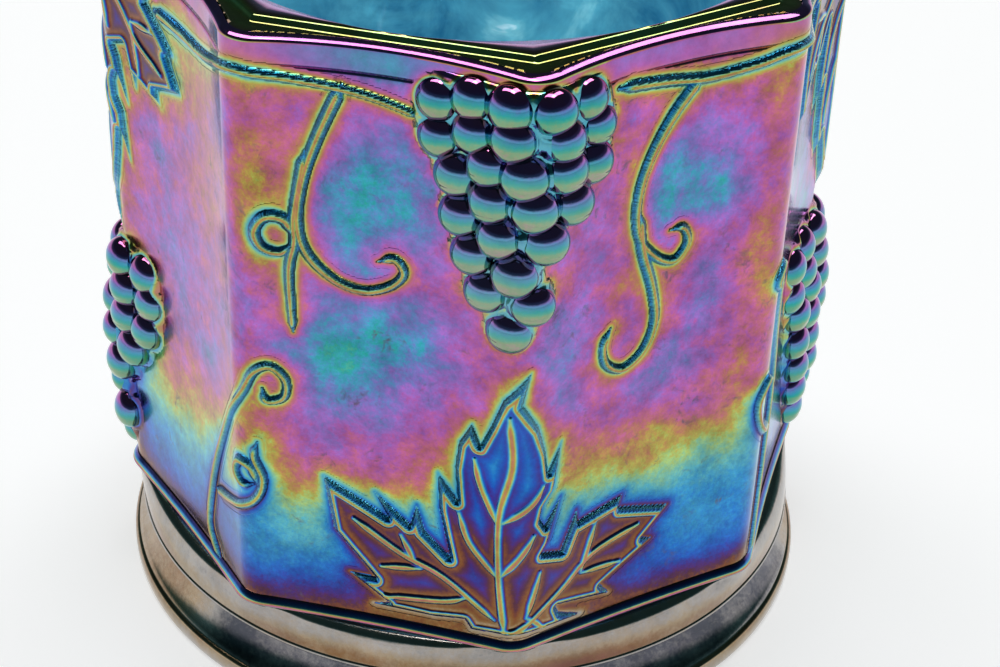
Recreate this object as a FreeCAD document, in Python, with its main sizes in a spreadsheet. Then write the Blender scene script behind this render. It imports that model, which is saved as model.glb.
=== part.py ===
"""Footed eight-sided jar in pressed carnival glass, with grapes, leaves and vines in relief.

Millimetres, +Z up. The origin is the centre of the foot, on the surface the jar stands on.
The body is an octagon in plan, and one of its ridges points along -Y. The ornament is centred
on four of the ridges: the front and back ones carry a hanging cluster over an upright leaf, and
the left and right ones a hanging leaf over a cluster. Vines run under the rim, tendrils hang
from them, and a tendril climbs each of the four ridges in between.
"""
import FreeCAD
import Part
import Sketcher
import math
import os

from FreeCAD import Placement, Rotation, Vector

# Driving dimensions: alias, value in mm, and what it is.
SIZES = [
    ("total_height", 136.0, "ground to the top of the rim"),
    ("rim_corner", 66.0, "axis to a ridge, at the rim"),
    ("rim_hollow", 3.0, "how far the middle of a facet is drawn in, at the rim"),
    ("wall_draft", 1.4, "how much nearer to the axis a ridge is at the foot of the wall"),
    ("wall_hollow", 0.5, "how far the middle of a facet is drawn in, at the foot of the wall"),
    ("ridge_round", 6.0, "radius on the eight upright ridges"),
    ("rim_height", 6.0, "height of the rim band"),
    ("rim_round", 2.0, "radius on the rim's outer edge"),
    ("wall_thickness", 3.9, "glass between the mouth and the middle of a facet"),
    ("neck_depth", 20.0, "depth of the straight stretch below the mouth"),
    ("base_thickness", 9.6, "glass between the cavity and a facet, at the cavity's floor"),
    ("cavity_round", 9.0, "radius between the cavity's wall and its floor"),
    ("floor_thickness", 7.0, "glass under the cavity, as thick as the ledge is high"),
    ("foot_height", 13.0, "height of the round foot"),
    ("foot_radius", 66.0, "outer radius of the foot where it stands"),
    ("foot_taper", 2.4, "how much smaller the foot's radius is under the ledge"),
    ("foot_cove", 2.0, "how far the foot's side is drawn in between its top and its edge"),
    ("foot_edge", 3.2, "height of the foot's lower edge"),
    ("foot_step", 1.4, "how far the foot's lower edge stands out from its side"),
    ("foot_width", 17.0, "width of the ring that the jar stands on"),
    ("bead_step", 1.1, "how far the ledge and the bead on it stand out from the wall"),
    ("bead_height", 1.8, "height of the bead round the foot of the wall"),
    ("grape_radius", 4.0, "radius of one grape"),
    ("grape_rise", 3.0, "how far a grape at a cluster's edge stands out from the wall"),
    ("cluster_swell", 2.2, "how much further the grapes in a cluster's middle stand out"),
    ("leaf_rise", 1.3, "how far a leaf stands out from the wall"),
    ("vine_rise", 1.2, "how far a vine or a tendril stands out from the wall"),
    ("vine_width", 2.4, "width of the vine under the rim"),
    ("tendril_width", 2.0, "width of a tendril at its root"),
]

SIDES = 8
HALF_FACET = 180.0 / SIDES

# The ornament below was drawn flat, for a jar with this radius to a ridge and this height of
# wall under the rim. Each point is (across, up): its distance along the wall from the ridge
# that the piece is centred on, to the right as seen from outside, and its height over the ledge.
DRAWN_CORNER = 66.0
DRAWN_WALL = 110.0

# The centres of a cluster's grapes, row by row from the top, for grapes of this radius.
DRAWN_GRAPE = 4.0
GRAPES = [
    (-16.8, 107.9), (-11.0, 109.4), (-4.4, 109.5), (2.2, 109.3), (9.4, 109.0),
    (-16.3, 101.6), (-10.4, 103.9), (-3.5, 104.5), (3.9, 103.9), (11.2, 104.0),
    (-13.0, 95.8), (-7.5, 99.0), (-1.7, 98.3), (4.3, 98.4), (10.4, 97.7),
    (-6.7, 92.8), (-0.3, 92.5), (6.0, 92.0),
    (-12.0, 88.8), (-5.1, 86.6), (1.4, 86.3),
    (-9.8, 82.0), (-2.5, 79.9),
    (-7.4, 75.3), (0.2, 74.1),
    (-3.4, 68.1),
]
# The middle of a cluster, and how far from it across and up the swelling ends.
CLUSTER_MIDDLE = (-2.0, 91.0)
SWELL_ACROSS = 17.0
SWELL_UP = 24.0
# A high cluster hangs from this height, and a low one stands this far over the bead.
CLUSTER_TOP = 113.0
CLUSTER_CLEARANCE = 0.3

# A vine leaf that stands on its stalk: its outline from the tip down the left edge to the
# stalk, then up the right edge.
LEAF = [
    (0.8, 60.0), (-3.8, 54.0), (-5.7, 48.5), (-7.6, 43.8), (-9.3, 47.6), (-11.5, 43.4),
    (-12.1, 38.0), (-11.4, 31.0), (-15.2, 35.8), (-14.7, 28.4), (-12.4, 18.2), (-17.3, 22.8),
    (-18.9, 28.0), (-20.0, 23.6), (-26.6, 29.0), (-24.0, 24.2), (-36.0, 30.8), (-34.0, 19.6),
    (-26.2, 10.4), (-31.2, 10.6), (-23.6, 5.2), (-26.6, 4.4), (-15.2, 4.2), (-9.3, 5.0),
    (-8.0, 3.0), (-1.6, 3.4), (7.0, 3.0), (14.0, 2.9), (9.0, 5.2), (8.2, 7.2),
    (20.0, 5.4), (17.8, 8.2), (28.6, 14.6), (26.4, 15.6), (31.8, 21.0), (21.0, 24.2),
    (21.6, 26.6), (12.2, 24.4), (11.9, 27.2), (8.8, 19.2), (4.4, 20.6), (5.8, 22.8),
    (8.3, 31.6), (4.9, 26.4), (3.8, 28.4), (4.3, 31.2), (6.5, 34.0), (7.8, 43.4),
    (5.0, 38.0), (4.2, 43.0), (2.6, 48.4), (-0.4, 53.5),
]
# The leaf that hangs by its stalk is the same drawing, turned over and made smaller.
HANGING_LEAF_TOP = 112.0
HANGING_LEAF_ACROSS = 0.80
HANGING_LEAF_UP = -0.98

# The middle lines of the vines and tendrils, each from its root to its tip.
# On the front ridge: the two tendrils that hang beside the cluster.
HANGING_LEFT = [
    [(-34.0, 107.6), (-36.4, 98.0), (-38.4, 88.5), (-38.6, 81.0), (-35.4, 73.6), (-30.2, 70.4),
     (-24.8, 71.4), (-21.4, 75.2), (-22.8, 78.0), (-25.8, 76.6)],
    [(-38.6, 84.0), (-40.4, 76.5), (-40.2, 68.0), (-40.8, 60.5)],
]
HANGING_RIGHT = [
    [(30.6, 107.4), (25.4, 101.0), (20.8, 93.0), (20.2, 84.0), (23.2, 77.0), (27.8, 74.6),
     (31.0, 77.4), (29.4, 80.6), (26.8, 79.8)],
    [(20.3, 86.0), (22.2, 77.0), (25.6, 66.0), (24.6, 58.0), (20.0, 54.8), (15.6, 57.4),
     (14.6, 62.0), (17.0, 64.6)],
]
# On the ridge between the front and the left: the vine under the rim, and the climbing tendril.
VINE = [
    [(32.6, 105.8), (24.5, 107.6), (14.6, 109.0), (4.0, 107.8), (-8.0, 107.2), (-20.0, 106.4),
     (-32.0, 105.4), (-43.0, 103.6)],
]
CLIMBING = [
    [(-3.6, 1.0), (-10.8, 3.8), (-14.2, 10.6), (-12.2, 22.0), (-6.4, 36.0), (0.0, 48.4),
     (3.2, 52.4), (6.8, 51.2), (7.4, 47.4), (4.6, 46.6)],
    [(-14.0, 13.0), (-7.6, 16.6), (-1.2, 21.6), (1.4, 26.6), (0.4, 31.0), (2.2, 35.0)],
]
CLIMBING_TALL = [
    [(-2.4, 1.0), (-6.6, 8.0), (-12.0, 20.0), (-16.0, 33.0), (-12.0, 46.0), (-8.0, 56.0),
     (-6.6, 62.0), (-3.6, 65.2), (-0.6, 63.2), (-1.6, 60.2)],
    [(-13.6, 24.0), (-6.0, 27.6), (-0.6, 32.0), (1.0, 38.0), (-1.6, 41.6), (-4.6, 39.6)],
]

doc = FreeCAD.newDocument("carnival_jar")
sheet = doc.addObject("Spreadsheet::Sheet", "sizes")
for row, (alias, value, meaning) in enumerate(SIZES, start=1):
    sheet.set(f"A{row}", meaning)
    sheet.set(f"B{row}", str(value))
    sheet.setAlias(f"B{row}", alias)
doc.recompute()


def size(alias):
    """A driving dimension's value, read back from the sheet."""
    return float(sheet.get(alias))


# Heights that pieces share, as rules for expressions.
LEDGE_TOP = "(sizes.foot_height + sizes.floor_thickness)"
RIM_FOOT = "(sizes.total_height - sizes.rim_height)"
FOOT_TOP = "(sizes.foot_radius - sizes.foot_taper)"
FOOT_SIDE = "(sizes.foot_radius - sizes.foot_step)"
FOOT_BORE = "(sizes.foot_radius - sizes.foot_width)"
CORNER = {"rim": "sizes.rim_corner", "wall": "(sizes.rim_corner - sizes.wall_draft)"}


def facet_rule(level):
    """The rule for the distance from the axis to the middle of a facet, at the rim or the wall."""
    return (f"(({CORNER[level]} - sizes.ridge_round) * cos({HALF_FACET})"
            f" + sizes.ridge_round - sizes.{level}_hollow)")


MOUTH_RADIUS = f"({facet_rule('rim')} - sizes.wall_thickness)"
CAVITY_BASE = f"({facet_rule('wall')} - sizes.base_thickness)"


probe = doc.addObject("App::FeaturePython", "probe")
probe.addProperty("App::PropertyFloat", "reading")


def value(rule):
    """What a rule comes to in the document now, as a number."""
    probe.setExpression("reading", rule)
    doc.recompute()
    return probe.reading


# ---------------------------------------------------------------- building blocks

def origin_plane(body, role):
    """One of a body's own origin planes, such as XY_Plane."""
    return next(f for f in body.Origin.OriginFeatures if f.Role == role)


def new_sketch(body, name, role, height=None):
    """An empty sketch on one of the body's planes, lifted to the height that a rule gives."""
    sketch = body.newObject("Sketcher::SketchObject", name)
    sketch.AttachmentSupport = [(origin_plane(body, role), "")]
    sketch.MapMode = "FlatFace"
    if height:
        sketch.setExpression("AttachmentOffset.Base.z", height)
    return sketch


def name_last(sketch, name, rule):
    """Name the constraint that was added last, and bind it to a rule."""
    sketch.renameConstraint(sketch.ConstraintCount - 1, name)
    sketch.setExpression("Constraints." + name, rule)


def section_sketch(body, name, height, level, rise):
    """The jar's section at the rim or the wall's foot: eight rounded ridges and hollow facets.

    rise is a rule for how far the section stands out evenly from the jar's own.
    """
    sketch = new_sketch(body, name, "XY_Plane", height)
    turn = math.radians(HALF_FACET)
    middle_rule = facet_rule(level)
    reach_rule = f"({CORNER[level]} - sizes.ridge_round)"
    ridge_rule = f"sizes.ridge_round + {rise}"
    hub_rule = (f"({reach_rule} ^ 2 + {middle_rule} ^ 2 - sizes.ridge_round ^ 2"
                f" - 2 * {middle_rule} * {reach_rule} * cos({HALF_FACET})) / (2 * sizes.{level}_hollow)")
    facet_round_rule = f"{hub_rule} - {rise}"
    reach = value(reach_rule)
    ridge = value(ridge_rule)
    facet = value(facet_round_rule)
    plane = Vector(0, 0, 1)

    def polar(radius, angle):
        return Vector(radius * math.cos(angle), radius * math.sin(angle), 0)

    directions = [2 * turn * k - math.pi / 2 for k in range(SIDES)]
    centres = [polar(reach, a) for a in directions]
    hubs = [polar(value(middle_rule) + value(hub_rule), a + turn) for a in directions]
    ridges = []
    facets = []
    spokes = []
    for k in range(SIDES):
        to_next = hubs[k] - centres[k]
        swing = math.atan2(to_next.y, to_next.x) - directions[k]
        swing = math.atan2(math.sin(swing), math.cos(swing))
        circle = Part.Circle(centres[k], plane, ridge)
        ridges.append(sketch.addGeometry(
            Part.ArcOfCircle(circle, directions[k] - swing, directions[k] + swing), False))
    for k in range(SIDES):
        this = centres[k] - hubs[k]
        after = centres[(k + 1) % SIDES] - hubs[k]
        start = math.atan2(after.y, after.x)
        sweep = math.atan2(this.y, this.x) - start
        sweep = math.atan2(math.sin(sweep), math.cos(sweep))
        circle = Part.Circle(hubs[k], plane, facet)
        facets.append(sketch.addGeometry(Part.ArcOfCircle(circle, start, start + sweep), False))
    for k in range(SIDES):
        spokes.append(sketch.addGeometry(Part.LineSegment(Vector(), centres[k]), True))

    for k in range(SIDES):
        sketch.addConstraint(Sketcher.Constraint("Coincident", spokes[k], 1, -1, 1))
        sketch.addConstraint(Sketcher.Constraint("Angle", spokes[k], directions[k]))
        sketch.addConstraint(Sketcher.Constraint("Coincident", ridges[k], 3, spokes[k], 2))
        sketch.addConstraint(Sketcher.Constraint("Tangent", ridges[k], 2, facets[k], 2))
        sketch.addConstraint(Sketcher.Constraint("Tangent", facets[k - 1], 1, ridges[k], 1))
        if k:
            sketch.addConstraint(Sketcher.Constraint("Equal", spokes[0], spokes[k]))
            sketch.addConstraint(Sketcher.Constraint("Equal", ridges[0], ridges[k]))
            sketch.addConstraint(Sketcher.Constraint("Equal", facets[0], facets[k]))
    sketch.addConstraint(Sketcher.Constraint("Distance", spokes[0], reach))
    name_last(sketch, "reach", reach_rule)
    sketch.addConstraint(Sketcher.Constraint("Radius", ridges[0], ridge))
    name_last(sketch, "ridge", ridge_rule)
    sketch.addConstraint(Sketcher.Constraint("Radius", facets[0], facet))
    name_last(sketch, "facet", facet_round_rule)
    return sketch


def jar_form(name, rise="0"):
    """A solid of the jar's outer shape from the ledge to the rim, or one that stands out from it."""
    body = doc.addObject("PartDesign::Body", name)
    low = section_sketch(body, name + "_low", LEDGE_TOP, "wall", rise)
    high = section_sketch(body, name + "_high", "sizes.total_height", "rim", rise)
    doc.recompute()
    loft = body.newObject("PartDesign::AdditiveLoft", name + "_loft")
    loft.Profile = low
    loft.Sections = [(high, [""])]
    loft.Ruled = True
    doc.recompute()
    return body


def turned_body(name, corners, arcs):
    """A body turned about Z from a closed half profile.

    corners are (x rule, z rule), in order round the profile. arcs is {k: (side, radius rule)} for each
    stretch from corner k to the next that is an arc, where side is 1 if its centre lies to the
    left of the way along the profile, and -1 if it lies to the right.
    """
    body = doc.addObject("PartDesign::Body", name)
    sketch = new_sketch(body, name + "_profile", "XZ_Plane")
    spots = [Vector(value(x), value(z), 0) for x, z in corners]
    count = len(spots)
    lines = []
    for k in range(count):
        here = spots[k]
        there = spots[(k + 1) % count]
        if k in arcs:
            side, rule = arcs[k]
            radius = value(rule)
            chord = there - here
            left = Vector(-chord.y, chord.x, 0).normalize()
            drop = math.sqrt(radius ** 2 - (chord.Length / 2) ** 2)
            hub = (here + there) * 0.5 + left * (side * drop)
            first, last = (here, there) if side > 0 else (there, here)
            start = math.atan2(first.y - hub.y, first.x - hub.x)
            end = math.atan2(last.y - hub.y, last.x - hub.x)
            circle = Part.Circle(hub, Vector(0, 0, 1), radius)
            lines.append(sketch.addGeometry(Part.ArcOfCircle(circle, start, end), False))
        else:
            lines.append(sketch.addGeometry(Part.LineSegment(here, there), False))
    for k in range(count):
        lead = 2 if k in arcs and arcs[k][0] < 0 else 1
        tail = 1 if (k - 1) % count in arcs and arcs[(k - 1) % count][0] < 0 else 2
        x_rule, z_rule = corners[k]
        sketch.addConstraint(Sketcher.Constraint("Coincident", lines[k - 1], tail, lines[k], lead))
        sketch.addConstraint(Sketcher.Constraint("DistanceX", -1, 1, lines[k], lead, spots[k].x))
        name_last(sketch, f"corner{k}_across", x_rule)
        sketch.addConstraint(Sketcher.Constraint("DistanceY", -1, 1, lines[k], lead, spots[k].y))
        name_last(sketch, f"corner{k}_up", z_rule)
    for k, (side, rule) in arcs.items():
        sketch.addConstraint(Sketcher.Constraint("Radius", lines[k], value(rule)))
        name_last(sketch, f"arc{k}", rule)
    doc.recompute()
    turned = body.newObject("PartDesign::Revolution", name + "_turned")
    turned.Profile = sketch
    turned.ReferenceAxis = (sketch, ["V_Axis"])
    turned.Angle = 360
    doc.recompute()
    return body


def boolean(kind, name, base, tool):
    """A Part boolean of two objects, where kind is Cut, Common or Fuse."""
    made = doc.addObject("Part::" + kind, name)
    made.Base = base
    made.Tool = tool
    doc.recompute()
    return made



def export_name(made, name):
    """Give a finished piece its label, and list it for export."""
    made.Label = name
    pieces.append(made)
    return made


pieces = []

# ---------------------------------------------------------------- foot, ledge and floor

# The foot: a ring with a coved side over a lower edge that stands out.
cove_chord = f"(sqrt((sizes.foot_height - sizes.foot_edge) ^ 2 + ({FOOT_SIDE} - {FOOT_TOP}) ^ 2))"
cove_round = f"(({cove_chord} ^ 2 / 4 + sizes.foot_cove ^ 2) / (2 * sizes.foot_cove))"
foot = turned_body(
    "foot_ring",
    [
        (FOOT_BORE, "0"), ("sizes.foot_radius", "0"),
        ("sizes.foot_radius", "sizes.foot_edge"), (FOOT_SIDE, "sizes.foot_edge"),
        (FOOT_TOP, "sizes.foot_height"), (FOOT_BORE, "sizes.foot_height"),
    ],
    {3: (-1, cove_round)},
)
export_name(foot, "foot_ring")

# The floor: a plain disc that closes the foot's bore.
floor = doc.addObject("Part::Cylinder", "bowl_floor")
floor.setExpression("Radius", FOOT_BORE)
floor.setExpression("Height", "sizes.floor_thickness")
floor.setExpression("Placement.Base.z", "sizes.foot_height")
export_name(floor, "bowl_floor")

# The ledge: it turns the round foot into the octagon.
ledge = doc.addObject("PartDesign::Body", "base_ledge")
ledge_low = new_sketch(ledge, "ledge_low", "XY_Plane", "sizes.foot_height")
ring = ledge_low.addGeometry(Part.Circle(Vector(), Vector(0, 0, 1), value(FOOT_TOP)), False)
ledge_low.addConstraint(Sketcher.Constraint("Coincident", ring, 3, -1, 1))
ledge_low.addConstraint(Sketcher.Constraint("Radius", ring, value(FOOT_TOP)))
name_last(ledge_low, "radius", FOOT_TOP)
ledge_high = section_sketch(ledge, "ledge_high", LEDGE_TOP, "wall", "sizes.bead_step")
doc.recompute()
ledge_loft = ledge.newObject("PartDesign::AdditiveLoft", "ledge_loft")
ledge_loft.Profile = ledge_low
ledge_loft.Sections = [(ledge_high, [""])]
ledge_loft.Ruled = True
doc.recompute()
ledge_bore = new_sketch(ledge, "ledge_bore", "XY_Plane", LEDGE_TOP)
bore = ledge_bore.addGeometry(Part.Circle(Vector(), Vector(0, 0, 1), value(FOOT_BORE)), False)
ledge_bore.addConstraint(Sketcher.Constraint("Coincident", bore, 3, -1, 1))
ledge_bore.addConstraint(Sketcher.Constraint("Radius", bore, value(FOOT_BORE)))
name_last(ledge_bore, "radius", FOOT_BORE)
solid_volume = ledge.Shape.Volume
ledge_pocket = ledge.newObject("PartDesign::Pocket", "ledge_pocket")
ledge_pocket.Profile = ledge_bore
ledge_pocket.Type = "ThroughAll"
doc.recompute()
if ledge.Shape.Volume > 0.7 * solid_volume:
    raise RuntimeError("the ledge's pocket cut nothing")
export_name(ledge, "base_ledge")

# ---------------------------------------------------------------- wall and rim

outer_form = jar_form("outer_form")

# The cavity, as a solid: a flat floor with a rounded corner, a slight taper and a straight neck.
NECK_FOOT = "(sizes.total_height - sizes.neck_depth)"
PAST_RIM = "(sizes.total_height + 1)"
cavity = turned_body(
    "cavity_form",
    [
        ("0", LEDGE_TOP), (f"({CAVITY_BASE} - sizes.cavity_round)", LEDGE_TOP),
        (CAVITY_BASE, f"({LEDGE_TOP} + sizes.cavity_round)"), (MOUTH_RADIUS, NECK_FOOT),
        (MOUTH_RADIUS, PAST_RIM), ("0", PAST_RIM),
    ],
    {1: (1, "sizes.cavity_round")},
)

rim_zone = doc.addObject("Part::Cylinder", "rim_zone")
rim_zone.setExpression("Radius", "2 * sizes.rim_corner")
rim_zone.setExpression("Height", "sizes.rim_height")
rim_zone.setExpression("Placement.Base.z", RIM_FOOT)

walling = boolean("Cut", "walling", outer_form, rim_zone)
export_name(boolean("Cut", "bowl_wall", walling, cavity), "bowl_wall")

rim_block = boolean("Common", "rim_block", outer_form, rim_zone)
rim_ring = boolean("Cut", "rim_ring", rim_block, cavity)
rim = doc.addObject("Part::Fillet", "rim")
rim.Base = rim_ring
top = value("sizes.total_height")
mouth = value(MOUTH_RADIUS)
rim_edges = [k for k, e in enumerate(rim_ring.Shape.Edges, start=1)
             if abs(e.BoundBox.ZMin - top) < 0.01 and abs(e.BoundBox.ZMax - top) < 0.01
             and e.valueAt(e.FirstParameter).Length > math.hypot(mouth, top) + 0.1]
rim.Edges = [(k, size("rim_round"), size("rim_round")) for k in rim_edges]
doc.recompute()
export_name(rim, "rim")

# The bead: a low band round the foot of the wall, flush with the ledge.
bead_form = doc.addObject("PartDesign::Body", "bead_form")
bead_sketch = section_sketch(bead_form, "bead_sketch", LEDGE_TOP, "wall", "sizes.bead_step")
doc.recompute()
bead_pad = bead_form.newObject("PartDesign::Pad", "bead_pad")
bead_pad.Profile = bead_sketch
bead_pad.setExpression("Length", "sizes.bead_height")
doc.recompute()
border_bead = boolean("Cut", "border_bead", bead_form, outer_form)
export_name(border_bead, "border_bead")

# ---------------------------------------------------------------- ornament

leaf_form = jar_form("leaf_form", "sizes.leaf_rise")
vine_form = jar_form("vine_form", "sizes.vine_rise")
ACROSS = size("rim_corner") / DRAWN_CORNER * math.cos(math.radians(HALF_FACET))
WALL_FOOT = value(LEDGE_TOP)
UP = (size("total_height") - size("rim_height") - WALL_FOOT) / DRAWN_WALL
BEFORE = -2 * size("rim_corner")


def before_wall(across, up):
    """The point straight in front of the wall that a drawn point stands for."""
    return Vector(across * ACROSS, BEFORE, WALL_FOOT + up * UP)


def stamp(edges):
    """A bar from a closed outline in front of the wall to the jar's axis."""
    return Part.Face(Part.Wire(edges)).extrude(Vector(0, -BEFORE, 0))


def leaf_stamp(scale_across=1.0, scale_up=1.0, shift_up=0.0):
    """The leaf's bar, from its drawing moved and scaled."""
    spots = [before_wall(a * scale_across, b * scale_up + shift_up) for a, b in LEAF]
    return stamp(Part.makePolygon(spots + spots[:1]).Edges)


def vine_stamp(stems, width, side):
    """The bar of a vine or tendril: smooth stems that thin out towards their tips."""
    bars = []
    for stem in stems:
        middle = [Vector(side * a * ACROSS, BEFORE, WALL_FOOT + b * UP) for a, b in stem]
        left = []
        right = []
        for k, spot in enumerate(middle):
            along = middle[min(k + 1, len(middle) - 1)] - middle[max(k - 1, 0)]
            normal = Vector(-along.z, 0, along.x).normalize()
            half = width * (0.5 - 0.22 * k / (len(middle) - 1))
            left.append(spot + normal * half)
            right.append(spot - normal * half)
        edges = []
        for flank in (left, right):
            curve = Part.BSplineCurve()
            curve.interpolate(flank)
            edges.append(curve.toShape())
        edges.append(Part.makeLine(left[0], right[0]))
        edges.append(Part.makeLine(left[-1], right[-1]))
        bars.append(stamp(Part.__sortEdges__(edges)))
    return bars[0].multiFuse(bars[1:]) if len(bars) > 1 else bars[0]


def wall_front(spot):
    """Where a line from a point before the wall, straight back, meets the wall."""
    line = Part.makeLine(spot, Vector(spot.x, 0, spot.z))
    return min((v.Point for v in line.common(outer_form.Shape).Vertexes), key=lambda p: p.y)


def cluster_shape(hung_from, first_up):
    """A bunch of grapes: the drawn height first_up comes to the point hung_from.

    The grapes keep their spacing on a taller or wider wall, so that they stay joined.
    """
    radius = size("grape_radius")
    spread = radius / DRAWN_GRAPE
    balls = []
    for across, up in GRAPES:
        off_across = (across - CLUSTER_MIDDLE[0]) / SWELL_ACROSS
        off_up = (up - CLUSTER_MIDDLE[1]) / SWELL_UP
        swell = size("cluster_swell") * max(0.0, 1 - off_across ** 2 - off_up ** 2)
        rise = size("grape_rise") + swell
        aside = across * spread * math.cos(math.radians(HALF_FACET))
        before = hung_from + Vector(aside, 0, (up - first_up) * spread)
        middle = wall_front(before) + Vector(0, radius - rise, 0)
        balls.append(Part.makeSphere(radius, middle, Vector(0, -1, 0)))
    return balls[0].multiFuse(balls[1:]).cut(outer_form.Shape)


def on_wall(bar, form, *others):
    """What a bar leaves standing on the wall, as high as the form and clear of other shapes."""
    relief = bar.common(form.Shape).cut(outer_form.Shape)
    return relief.cut(list(others)) if others else relief


def place_copies(shape, copies):
    """One object for each (name, angle): the shape, turned round the jar's axis."""
    for name, angle in copies:
        made = doc.addObject("Part::Feature", name)
        made.Shape = shape
        made.Placement = Placement(Vector(), Rotation(Vector(0, 0, 1), angle))
        export_name(made, name)


def turned(shape, angle):
    """A shape turned round the jar's axis."""
    return shape.rotated(Vector(), Vector(0, 0, 1), angle)


lowest = min(up for _, up in GRAPES) - DRAWN_GRAPE
high_cluster = cluster_shape(before_wall(0.0, CLUSTER_TOP), CLUSTER_TOP)
over_bead = Vector(0, 0, size("bead_height") + CLUSTER_CLEARANCE)
low_cluster = cluster_shape(before_wall(0.0, 0.0) + over_bead, lowest)
place_copies(high_cluster, [("cluster_front", 0), ("cluster_back", 180)])
place_copies(low_cluster, [("cluster_right", 90), ("cluster_left", -90)])

bead = border_bead.Shape
standing_leaf = on_wall(leaf_stamp(), leaf_form, bead, high_cluster)
hanging_leaf = on_wall(
    leaf_stamp(HANGING_LEAF_ACROSS, HANGING_LEAF_UP, HANGING_LEAF_TOP), leaf_form, low_cluster)
place_copies(standing_leaf, [("leaf_front", 0), ("leaf_back", 180)])
place_copies(hanging_leaf, [("leaf_right", 90), ("leaf_left", -90)])

# A vine runs from a cluster to a hanging leaf over the ridge between them. side is 1 where the
# cluster is to the right of that ridge, and -1 where it is to the left.
vine_width = size("vine_width")
tendril_width = size("tendril_width")
for side, vine_names, climbing_names, climbing, hanging_names, hanging_stems in (
    (1, ("vine_front_left", "vine_back_right"), ("climber_front_left", "climber_back_right"),
     CLIMBING, ("tendril_front_left", "tendril_back_right"), HANGING_LEFT),
    (-1, ("vine_front_right", "vine_back_left"), ("climber_front_right", "climber_back_left"),
     CLIMBING_TALL, ("tendril_front_right", "tendril_back_left"), HANGING_RIGHT),
):
    corner = -45 * side
    vine = on_wall(vine_stamp(VINE, vine_width, side), vine_form,
                   turned(high_cluster, -corner), turned(hanging_leaf, corner))
    place_copies(vine, [(vine_names[0], corner), (vine_names[1], corner + 180)])
    climber = on_wall(vine_stamp(climbing, tendril_width, side), vine_form, bead)
    place_copies(climber, [(climbing_names[0], corner), (climbing_names[1], corner + 180)])
    hanging = on_wall(vine_stamp(hanging_stems, tendril_width, 1), vine_form, turned(vine, corner))
    place_copies(hanging, [(hanging_names[0], 0), (hanging_names[1], 180)])

# ---------------------------------------------------------------- checks and export

for made in doc.Objects:
    if "Invalid" in made.State or "Error" in made.State:
        raise RuntimeError(f"{made.Name} failed: {made.State}")
for made in pieces:
    if made.Shape.isNull() or not made.Shape.isValid() or made.Shape.Volume <= 0:
        raise RuntimeError(f"{made.Label} has no sound shape")

os.makedirs("parts", exist_ok=True)
for made in pieces:
    made.Shape.exportStep(f"parts/{made.Label}.step")
    print(made.Label, len(made.Shape.Solids), "solids", round(made.Shape.Volume), "mm3")
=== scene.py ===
"""Footed eight-sided jar in iridescent pressed glass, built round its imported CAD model.

Everything is drawn in millimetres on the developed wall, as (across, up), and then wrapped
round the jar. across runs to the right as seen from outside, from the ridge that a piece is
centred on, and up runs from the ledge. Each vertex carries its film's order, the number that
decides its interference colour.
"""

import math

import bpy
import numpy as np
from mathutils import Matrix, Vector


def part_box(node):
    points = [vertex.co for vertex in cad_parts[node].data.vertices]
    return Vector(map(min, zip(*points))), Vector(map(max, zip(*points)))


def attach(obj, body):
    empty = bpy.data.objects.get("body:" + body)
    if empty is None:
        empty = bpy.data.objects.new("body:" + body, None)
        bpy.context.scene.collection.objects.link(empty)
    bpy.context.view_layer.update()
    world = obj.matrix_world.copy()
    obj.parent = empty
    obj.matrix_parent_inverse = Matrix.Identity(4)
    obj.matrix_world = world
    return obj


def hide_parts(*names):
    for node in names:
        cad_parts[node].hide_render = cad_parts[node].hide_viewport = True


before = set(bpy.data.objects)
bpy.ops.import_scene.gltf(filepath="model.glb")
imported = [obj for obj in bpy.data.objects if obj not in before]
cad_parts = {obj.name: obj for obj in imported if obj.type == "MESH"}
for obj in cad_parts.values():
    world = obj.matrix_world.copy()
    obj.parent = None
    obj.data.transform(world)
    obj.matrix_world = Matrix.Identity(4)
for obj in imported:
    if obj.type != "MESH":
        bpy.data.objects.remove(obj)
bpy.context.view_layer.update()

MM = 0.001
wall_low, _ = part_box("bowl_wall")
rim_low, rim_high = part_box("rim")
_, foot_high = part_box("foot_ring")
_, floor_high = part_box("bowl_floor")
TOTAL_HEIGHT = rim_high.z / MM
RIM_FOOT = rim_low.z / MM
WALL_FOOT = wall_low.z / MM
FOOT_HEIGHT = foot_high.z / MM
FOOT_RADIUS = foot_high.x / MM
FOOT_BORE = floor_high.x / MM
RIM_CORNER = rim_high.x / MM

# The octagon, as in the CAD model.
SIDES = 8
HALF_FACET = math.pi / SIDES
RIDGE_ROUND = 6.0
WALL_DRAFT = 1.4
RIM_HOLLOW = 3.0
WALL_HOLLOW = 0.5
BEAD_STEP = 1.1
MOUTH_RADIUS = 54.5
CAVITY_BASE = 50.0
CAVITY_ROUND = 9.0
NECK_DEPTH = 20.0
WALL_HEIGHT = TOTAL_HEIGHT - WALL_FOOT
# One ridge to the next on the developed wall.
PITCH = 50.5
HALF_PITCH = PITCH / 2
AROUND = SIDES * PITCH

GRAPE_RADIUS = 3.95
GRAPE_RISE = 3.0
CLUSTER_SWELL = 2.1
GRAPE_FLATNESS = 0.8
# The web of glass between a cluster's grapes, and its lip round them.
WEB_RISE = 0.9
WEB_LIP = 0.35
# A grape's film by how far up its face, -1 to 1: cyan, yellow-green, teal, then purple.
GRAPE_FILM = (
    (-0.95, -0.7, -0.45, -0.15, 0.1, 0.4, 0.6, 1.0),
    (13.4, 14.4, 15.4, 15.2, 14.0, 13.0, 11.2, 10.9),
)
LEAF_RISE = 1.15
LEAF_EDGE_WIDTH = 1.25
LEAF_DISH = 0.42
VEIN_HALF_WIDTH = 1.05
VEIN_RISE = 0.75
VINE_RISE = 1.1

rng = np.random.default_rng(8)


# ---------------------------------------------------------------- the wall's shape

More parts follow.
